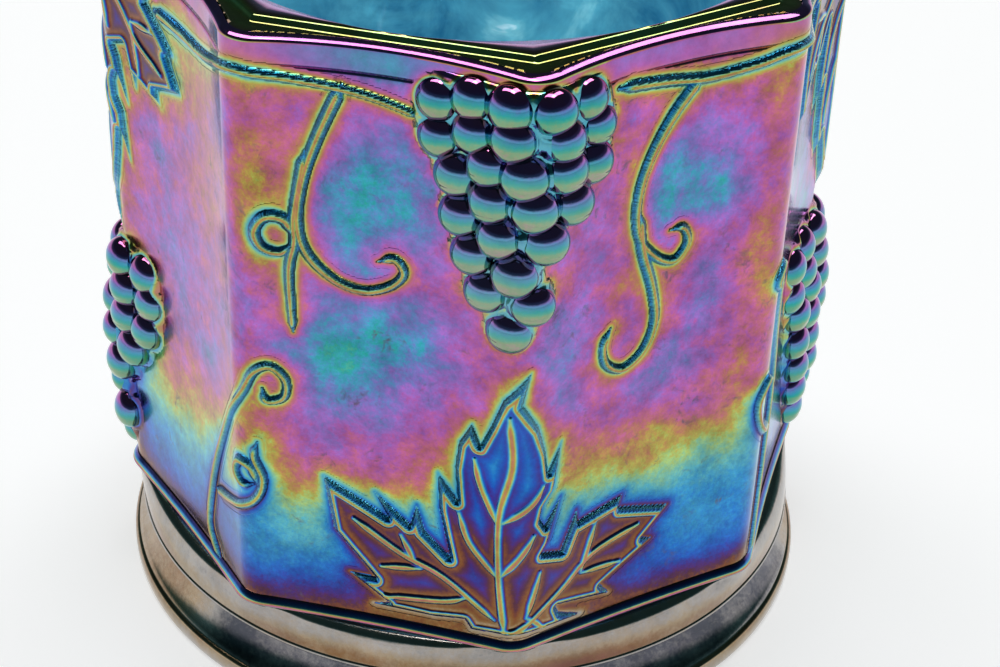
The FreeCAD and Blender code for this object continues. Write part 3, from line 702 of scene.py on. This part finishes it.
def tube_faces(rings, count, closed):
    """Quads between rings of count points each, and from the last ring to the first if closed."""
    column = np.arange(count)
    after = (column + 1) % count
    quads = []
    for k in range(rings if closed else rings - 1):
        low = k * count
        high = ((k + 1) % rings) * count
        quads.append(np.stack([low + column, low + after, high + after, high + column], -1))
    return np.vstack(quads)


def around(count):
    """Evenly spaced places round the developed wall."""
    return np.arange(count) * AROUND / count


def octagon_ring(across, height, rise=0.0, share=None):
    """A ring on the octagon at a height over the ground."""
    if share is None:
        share = (height - WALL_FOOT) / WALL_HEIGHT
    x, y, _ = plan(across, share, rise)
    return np.stack([x, y, np.full(len(across), height)], -1) * MM


def round_ring(across, radius, height):
    """A round ring at a height over the ground, in step with the octagon's rings."""
    x, y, _ = plan(across, 0.0)
    reach = np.hypot(x, y)
    return np.stack([x / reach * radius, y / reach * radius, np.full(len(across), height)], -1) * MM


def blend_rings(a, b, share):
    """The ring that lies a share of the way from one ring to another."""
    return a * (1 - share) + b * share


def cavity_radius(height):
    """The cavity's radius at a height over the ground."""
    neck_foot = TOTAL_HEIGHT - NECK_DEPTH
    round_top = WALL_FOOT + CAVITY_ROUND
    if height < round_top:
        drop = round_top - height
        return CAVITY_BASE - CAVITY_ROUND + math.sqrt(max(CAVITY_ROUND ** 2 - drop ** 2, 0.0))
    share = min((height - round_top) / (neck_foot - round_top), 1.0)
    return CAVITY_BASE + (MOUTH_RADIUS - CAVITY_BASE) * share


def inner_film(across, height):
    """The film's order on the cavity's wall: teal, bluer in places."""
    turn = across / AROUND * 2 * math.pi
    return 13.6 + 0.5 * np.sin(2 * turn + height / 15) + 0.4 * np.sin(5 * turn - height / 9)


def build_wall():
    """The eight-sided wall, outside and inside, as one closed skin."""
    across = around(640)
    heights = WALL_FOOT + (RIM_FOOT - WALL_FOOT) * np.linspace(0, 1, 128)
    rings = [octagon_ring(across, height) for height in heights]
    films = [wall_film(across, np.full(len(across), height - WALL_FOOT)) for height in heights]
    rounding = np.array([0.8, 0.6, 0.42, 0.26, 0.12, 0.04, 0.0])
    inner = np.concatenate([np.linspace(RIM_FOOT, WALL_FOOT + CAVITY_ROUND, 16),
                            WALL_FOOT + CAVITY_ROUND * rounding])
    for height in inner:
        rings.append(round_ring(across, cavity_radius(height), height))
        films.append(inner_film(across, height))
    points = np.vstack(rings)
    faces = tube_faces(len(rings), len(across), True)
    lined = np.arange(len(faces)) >= len(heights) * len(across)
    add_piece("wall_glass", points, faces, np.concatenate(films), WALL_GLASS, "bowl_wall",
              lined=lined)


def build_rim():
    """The rim: a rounded outer edge, a ledge, and a low collar round the mouth."""
    across = around(720)
    collar_corner = 60.2
    x, y, _ = plan(across, 1.0)
    facing = np.arctan2(x, -y)
    local = (facing + HALF_FACET) % (2 * HALF_FACET) - HALF_FACET
    collar_middle = 55.6
    straight = collar_middle / np.cos(HALF_FACET - np.abs(local))
    collar = np.minimum(straight, collar_corner)
    edge = np.hypot(x, y)

    def ring(radius, height):
        return np.stack([x / edge * radius, y / edge * radius, np.full(len(across), height)], -1) * MM

    def film(value):
        return np.full(len(across), float(value))

    top = TOTAL_HEIGHT
    upper = wall_film(across, np.full(len(across), RIM_FOOT - WALL_FOOT))
    ledge_drop = 1.0
    # The outer edge: a tight turn off the wall, a broad soft shoulder, and a turn on to the ledge.
    turns = [(0.0, 62.0, 0.7, 5), (62.0, 82.0, 4.0, 6), (82.0, 90.0, 1.0, 2)]
    edge_profile = []
    inset = 0.0
    climb = 0.0
    for start, end, radius, steps in turns:
        for step in range(1, steps + 1):
            angle = math.radians(start + (end - start) * step / steps)
            before = math.radians(start + (end - start) * (step - 1) / steps)
            inset += radius * (math.cos(before) - math.cos(angle))
            climb += radius * (math.sin(angle) - math.sin(before))
            edge_profile.append((inset, climb, angle))
    shoulder = top - ledge_drop - climb
    rings = []
    films = []
    for height in np.linspace(RIM_FOOT, shoulder, 6):
        rings.append(octagon_ring(across, height))
        films.append(wall_film(across, np.full(len(across), height - WALL_FOOT)))
    for inset, climb, angle in edge_profile:
        rings.append(octagon_ring(across, shoulder + climb, -inset, 1.0))
        films.append(upper + (10.9 - upper) * ramp(angle, 0.1, 0.9))
    lip = edge - inset
    for share, order in ((0.06, 9.4), (0.35, 8.8), (0.7, 8.6), (0.97, 8.5)):
        rings.append(ring(lip + (collar + 0.95 - lip) * share, top - ledge_drop))
        films.append(film(order))
    for out, height, order in ((0.72, -0.93, 8.3), (0.5, -0.78, 8.2), (0.22, -0.52, 8.0),
                               (-0.02, -0.26, 8.0), (-0.25, -0.09, 8.1), (-0.55, -0.02, 8.6),
                               (-1.2, 0.0, 9.4)):
        slope = np.maximum(np.minimum(collar + out, lip), MOUTH_RADIUS + 0.55)
        rings.append(ring(slope, top + height))
        films.append(film(order))
    for inset, height, order in ((0.4, -0.03, 12.2), (0.1, -0.3, 12.8), (0.0, -0.9, 13.4),
                                 (0.0, -3.0, 13.6)):
        rings.append(ring(np.full(len(across), MOUTH_RADIUS + inset), top + height))
        films.append(film(order))
    rings.append(ring(np.full(len(across), MOUTH_RADIUS), RIM_FOOT))
    films.append(inner_film(across, RIM_FOOT))
    faces = tube_faces(len(rings), len(across), True)
    lined_rings = 4
    lined = np.arange(len(faces)) >= (len(rings) - lined_rings) * len(across)
    add_piece("rim_glass", np.vstack(rings), faces, np.concatenate(films), RIM_GLASS, "rim",
              lined=lined)


def build_bead():
    """The bead round the foot of the wall: an upward fillet, a crest, and the ledge's top."""
    across = around(720)
    profile = [(1.8, 0.0, 2.4), (1.5, 0.22, 3.4), (1.15, 0.55, 4.6), (0.75, 0.86, 6.2),
               (0.4, 1.04, 9.6), (0.15, 1.1, 10.4), (0.0, 1.1, 4.0), (0.0, -0.5, 2.0),
               (1.6, -0.5, 2.0)]
    rings = [octagon_ring(across, WALL_FOOT + height, rise, 0.0) for height, rise, _ in profile]
    films = [np.full(len(across), order) for _, _, order in profile]
    add_piece("bead_glass", np.vstack(rings), tube_faces(len(rings), len(across), True),
              np.concatenate(films), FOOT_GLASS, "border_bead")


def build_ledge():
    """The pale band that turns the octagon into the round foot."""
    across = around(720)
    top = octagon_ring(across, WALL_FOOT, BEAD_STEP, 0.0)
    low_radius = FOOT_RADIUS - 2.3
    sleeve = FOOT_BORE + 0.05
    low = round_ring(across, low_radius, FOOT_HEIGHT + 0.4)
    rings = []
    films = []
    turn = across / AROUND * 2 * math.pi
    for share in np.linspace(0, 1, 12):
        ring = blend_rings(top, low, share)
        ring[:, :2] = blend_rings(top, low, share ** 0.25)[:, :2]
        ring[:, :2] *= 1 + 0.004 * math.sin(math.pi * share)
        rings.append(ring)
        patches = 0.35 * np.sin(3 * turn + 1.0) + 0.3 * np.sin(8 * turn)
        films.append(0.8 + 0.95 * ramp(share, 0.3, 0.9) + patches * share)
    tuck = FOOT_HEIGHT - 0.6
    for radius, height in ((low_radius, FOOT_HEIGHT), (low_radius - 1.1, tuck), (sleeve, tuck),
                           (sleeve, WALL_FOOT)):
        rings.append(round_ring(across, radius, height))
        films.append(np.full(len(across), 1.0))
    add_piece("ledge_glass", np.vstack(rings), tube_faces(len(rings), len(across), True),
              np.concatenate(films), FOOT_GLASS, "base_ledge")


def build_foot():
    """The round foot: a bright edge under the ledge, a dark cove, a crease and a flange."""
    across = around(720)
    turn = across / AROUND * 2 * math.pi
    profile = [
        (-3.2, 13.1, 1.0), (-2.5, 13.1, 0.9), (-2.15, 12.95, 0.8), (-2.02, 12.6, 0.7),
        (-2.25, 12.2, 0.5), (-3.1, 11.95, 0.3), (-4.3, 11.7, 0.1), (-4.9, 11.2, 0.1),
        (-4.95, 10.4, 0.1), (-4.6, 9.2, 0.1), (-4.0, 7.9, 0.1), (-3.25, 6.6, 0.15),
        (-2.4, 5.4, 0.2), (-1.6, 4.5, 0.3), (-1.1, 4.05, 0.4), (-0.98, 3.8, 1.0),
        (-0.8, 3.72, 1.7), (-0.4, 3.55, 1.6), (-0.12, 3.1, 1.4), (0.0, 2.3, 1.2),
        (-0.02, 1.2, 1.0), (-0.25, 0.45, 0.9), (-0.7, 0.08, 0.9), (-1.4, 0.0, 0.9),
    ]
    rings = []
    films = []
    for offset, height, order in profile:
        rings.append(round_ring(across, FOOT_RADIUS + offset, height))
        # The cove's film is low and dark all round. At the sides, across the camera's line of sight,
        # it is raised to bronze, a painted sheen.
        painted_side_sheen = ramp(np.abs(np.sin(turn - 0.1)), 0.82, 0.99) * (1.5 + 0.3 * np.sin(5 * turn))
        films.append(np.maximum(order, painted_side_sheen) if height < 11.8 else np.full(len(across), order))
    for radius, height in ((FOOT_BORE + 1.4, 0.0), (FOOT_BORE + 0.5, 0.15), (FOOT_BORE + 0.1, 0.6),
                           (FOOT_BORE, 1.4), (FOOT_BORE, 7.0), (FOOT_BORE, FOOT_HEIGHT)):
        rings.append(round_ring(across, radius, height))
        films.append(np.full(len(across), 1.2))
    add_piece("foot_glass", np.vstack(rings), tube_faces(len(rings), len(across), True),
              np.concatenate(films), FOOT_GLASS, "foot_ring")


def build_floor():
    """The jar's floor: a disc, a little dished on top and under."""
    across = around(256)
    shares = [0.02, 0.2, 0.4, 0.6, 0.8, 0.95, 1.0]
    rings = []
    films = []
    dish = 0.5
    for share in shares:
        rings.append(round_ring(across, FOOT_BORE * share, WALL_FOOT - dish * (1 - share ** 2)))
        films.append(np.full(len(across), 13.8))
    for share in reversed(shares):
        rings.append(round_ring(across, FOOT_BORE * share, FOOT_HEIGHT + dish * (1 - share ** 2)))
        films.append(np.full(len(across), 2.0))
    points = np.vstack(rings)
    count = len(across)
    faces = tube_faces(len(rings), count, False).tolist()
    faces.append(list(range(count))[::-1])
    faces.append(list(range(len(points) - count, len(points))))
    add_piece("floor_glass", points, faces, np.concatenate(films), FLOOR_GLASS, "bowl_floor")


# A relief's patch of wall goes this far past its foot, and stops under the rim's rounding.
SKIRT = 1.5
TOP_OF_RELIEF = 113.4
# How far the patch stands off the wall, and how deep its border and its back are sunk in it.
SKIRT_LIFT = 0.03
TUCK = -0.3
BACK = -0.9


def relief_mesh(ridge, kind, drawing, cell):
    """A patch of the wall with the relief raised on it, closed by a back inside the glass."""
    low, high = extent(kind, drawing)
    low = low - SKIRT - 2 * cell
    high = high + SKIRT + 2 * cell
    columns = np.arange(low[0], high[0], cell)
    rows = np.arange(max(low[1], 0.3), min(high[1], TOP_OF_RELIEF), cell)
    across, up = np.meshgrid(columns, rows)
    shape = across.shape
    points = np.stack([across.ravel(), up.ravel()], -1)
    rise, outside, order, share, run, flank = relief(kind, drawing, points)
    bare = wall_film(points[:, 0] + ridge * PITCH, points[:, 1])
    film = bare + (order - bare) * share
    rise = rise + SKIRT_LIFT
    keep = (outside < SKIRT).reshape(shape)
    cells = keep[:-1, :-1] & keep[1:, :-1] & keep[:-1, 1:] & keep[1:, 1:]
    index = np.arange(points.shape[0]).reshape(shape)
    quads = np.stack([index[:-1, :-1][cells], index[:-1, 1:][cells],
                      index[1:, 1:][cells], index[1:, :-1][cells]], -1)
    corners = np.zeros(points.shape[0], int)
    np.add.at(corners, quads.ravel(), 1)
    border = (corners > 0) & (corners < 4)
    rise = np.where(border, TUCK, rise)
    used = np.flatnonzero(corners)
    renumber = np.full(points.shape[0], -1)
    renumber[used] = np.arange(len(used))
    quads = renumber[quads]
    front = on_wall(points[used, 0] + ridge * PITCH, points[used, 1], rise[used])
    back = on_wall(points[used, 0] + ridge * PITCH, points[used, 1], BACK)
    count = len(used)
    edges = np.vstack([quads[:, [0, 1]], quads[:, [1, 2]], quads[:, [2, 3]], quads[:, [3, 0]]])
    key = edges[:, 0] * count + edges[:, 1]
    lonely = ~np.isin(edges[:, 1] * count + edges[:, 0], key)
    sides = edges[lonely]
    walls = np.stack([sides[:, 1], sides[:, 0], sides[:, 0] + count, sides[:, 1] + count], -1)
    faces = np.vstack([quads, quads[:, ::-1] + count, walls])
    double = [np.concatenate([values[used], values[used]]) for values in (film, run, flank)]
    return np.vstack([front, back]), faces, double


# The grapes from this one on may have a tool's dent, and this share of them does.
FIRST_DENTED = 8
DENTED_SHARE = 0.75


def grape_balls(ridge, centres, low):
    """The grapes of a cluster, as closed balls sunk in the wall, some with a tool's dent."""
    around_count = 64
    tilts = np.concatenate([np.linspace(0.03, 2.05, 38), np.linspace(2.2, 3.1, 6)])
    spin = np.arange(around_count) / around_count * 2 * math.pi
    tilt, turn = np.meshgrid(tilts, spin, indexing="ij")
    right = (np.sin(tilt) * np.cos(turn)).ravel()
    above = (np.sin(tilt) * np.sin(turn)).ravel()
    out = np.cos(tilt).ravel()
    points = []
    faces = []
    films = []
    count = len(tilts) * around_count
    for number, (across, up) in enumerate(centres):
        size = GRAPE_RADIUS * (1 + 0.05 * rng.uniform(-1, 1))
        x, y, facing = plan(across + ridge * PITCH, up / WALL_HEIGHT)
        normal = np.array([math.sin(float(facing)), -math.cos(float(facing)), 0.0])
        level = np.array([math.cos(float(facing)), math.sin(float(facing)), 0.0])
        stands = GRAPE_RISE + float(swell(across, up, low))
        on_face = np.array([float(x), float(y), up + WALL_FOOT])
        centre = on_face - normal * (size * GRAPE_FLATNESS - stands)
        dent = np.zeros(count)
        if number >= FIRST_DENTED and rng.uniform() < DENTED_SHARE:
            bend = rng.uniform(-0.15, 0.25)
            line = rng.uniform(-0.42, -0.22) + bend * (right - rng.uniform(-0.1, 0.1)) ** 2 * 2
            dent = 0.11 * np.exp(-((above - line) / 0.06) ** 2) * (1 - ramp(np.abs(right), 0.3, 0.62))
            dent = dent * (out > 0)
        radius = size - dent
        ball = (centre + right[:, None] * level * radius[:, None]
                + above[:, None] * np.array([0, 0, 1.0]) * radius[:, None]
                + out[:, None] * normal * radius[:, None] * GRAPE_FLATNESS)
        base = number * count
        points.append(ball * MM)
        side = np.hypot(right, above)
        tint = rng.uniform(-0.5, 0.5)
        films.append(np.interp(above, *GRAPE_FILM) + 0.4 * tint - 0.4 * side ** 3)
        quads = tube_faces(len(tilts), around_count, False)
        faces += (quads + base).tolist()
        faces.append([base + k for k in range(around_count)][::-1])
        faces.append([base + count - around_count + k for k in range(around_count)])
    return np.vstack(points), faces, np.concatenate(films)


def build_ornament():
    """Every cluster, leaf, vine and tendril."""
    for node, ridge, kind, drawing in ORNAMENT:
        cell = {"grapes": 0.45, "leaf": 0.26, "vine": 0.24, "tendril": 0.22}[kind]
        points, faces, (film, run, flank) = relief_mesh(ridge, kind, drawing, cell)
        material = RELIEF_GLASS
        if kind == "grapes":
            balls, ball_faces, ball_film = grape_balls(ridge, drawing, drawing is LOW_GRAPES)
            faces = faces.tolist() + [[k + len(points) for k in face] for face in ball_faces]
            run = np.concatenate([run, np.zeros(len(balls))])
            flank = np.concatenate([flank, np.zeros(len(balls))])
            film = np.concatenate([film, ball_film])
            points = np.vstack([points, balls])
            material = GRAPE_GLASS
        add_piece(node + "_glass", points, faces, film, material, node, run, flank)


build_wall()
build_rim()
build_bead()
build_ledge()
build_foot()
build_floor()
build_ornament()


# ---------------------------------------------------------------- stage, light and camera

def build_stage():
    """A wide pale floor."""
    mesh = bpy.data.meshes.new("stage_floor")
    half = 6.0
    mesh.from_pydata([(-half, -half, 0), (half, -half, 0), (half, half, 0), (-half, half, 0)], [],
                     [(0, 1, 2, 3)])
    floor = bpy.data.objects.new("stage_floor", mesh)
    bpy.context.scene.collection.objects.link(floor)
    n = Nodes("stage_white")
    shader = n.add("ShaderNodeBsdfPrincipled")
    shader.inputs["Base Color"].default_value = (0.6, 0.6, 0.6, 1.0)
    shader.inputs["Roughness"].default_value = 0.7
    shader.inputs["Emission Color"].default_value = (1.0, 1.0, 1.0, 1.0)
    shader.inputs["Emission Strength"].default_value = 0.6
    output = n.add("ShaderNodeOutputMaterial")
    n.link(shader.outputs[0], output.inputs[0])
    mesh.materials.append(n.material)


def build_world():
    """A studio that is pale at the horizon and dark overhead."""
    world = bpy.data.worlds.new("studio")
    bpy.context.scene.world = world
    world.use_nodes = True
    tree = world.node_tree
    tree.nodes.clear()
    place = tree.nodes.new("ShaderNodeTexCoord")
    split = tree.nodes.new("ShaderNodeSeparateXYZ")
    shade = tree.nodes.new("ShaderNodeValToRGB")
    sky = tree.nodes.new("ShaderNodeBackground")
    output = tree.nodes.new("ShaderNodeOutputWorld")
    tree.links.new(place.outputs["Generated"], split.inputs[0])
    tree.links.new(split.outputs["Z"], shade.inputs[0])
    tree.links.new(shade.outputs[0], sky.inputs[0])
    tree.links.new(sky.outputs[0], output.inputs[0])
    bands = ((0.0, 0.95), (0.10, 0.90), (0.24, 0.10), (0.45, 0.03), (1.0, 0.03))
    while len(shade.color_ramp.elements) < len(bands):
        shade.color_ramp.elements.new(0.5)
    for element, (at, grey) in zip(shade.color_ramp.elements, bands):
        tint = (1.0, 1.0, 1.0) if grey > 0.5 else (0.5, 1.2, 1.25)
        element.position = at
        element.color = (grey * tint[0], grey * tint[1], grey * tint[2], 1.0)


def add_softbox(name, place, target, wide, tall, power):
    """A rectangular area light in metres and watts, turned towards its target."""
    light = bpy.data.lights.new(name, "AREA")
    light.shape = "RECTANGLE"
    light.size = wide
    light.size_y = tall
    light.energy = power
    lamp = bpy.data.objects.new(name, light)
    bpy.context.scene.collection.objects.link(lamp)
    lamp.location = place
    lamp.rotation_euler = (Vector(target) - Vector(place)).to_track_quat("-Z", "Y").to_euler()


def build_lights():
    """Two soft boxes side by side, nearly overhead and a little behind the jar."""
    for side in (-1, 1):
        place = (0.25 * side, 0.26, 1.28)
        add_softbox(f"softbox_{side + 2}", place, (0, 0, 0.07), 0.38, 1.1, 5.6)


def build_camera():
    """The camera looks down at the front ridge from a little to its left."""
    heading = math.radians(9.317)
    pitch = math.radians(33.57)
    roll = math.radians(2.2)
    camera = bpy.data.cameras.new("camera")
    camera.sensor_width = 36.0
    camera.lens = 92.69
    holder = bpy.data.objects.new("camera", camera)
    bpy.context.scene.collection.objects.link(holder)
    turn = (Matrix.Rotation(-heading, 4, "Z") @ Matrix.Rotation(math.pi / 2 - pitch, 4, "X")
            @ Matrix.Rotation(roll, 4, "Z"))
    holder.matrix_world = Matrix.Translation((-0.0614, -0.4103, 0.3202)) @ turn
    bpy.context.scene.camera = holder


build_stage()
build_world()
build_lights()
build_camera()
bpy.context.scene.view_settings.view_transform = "Standard"
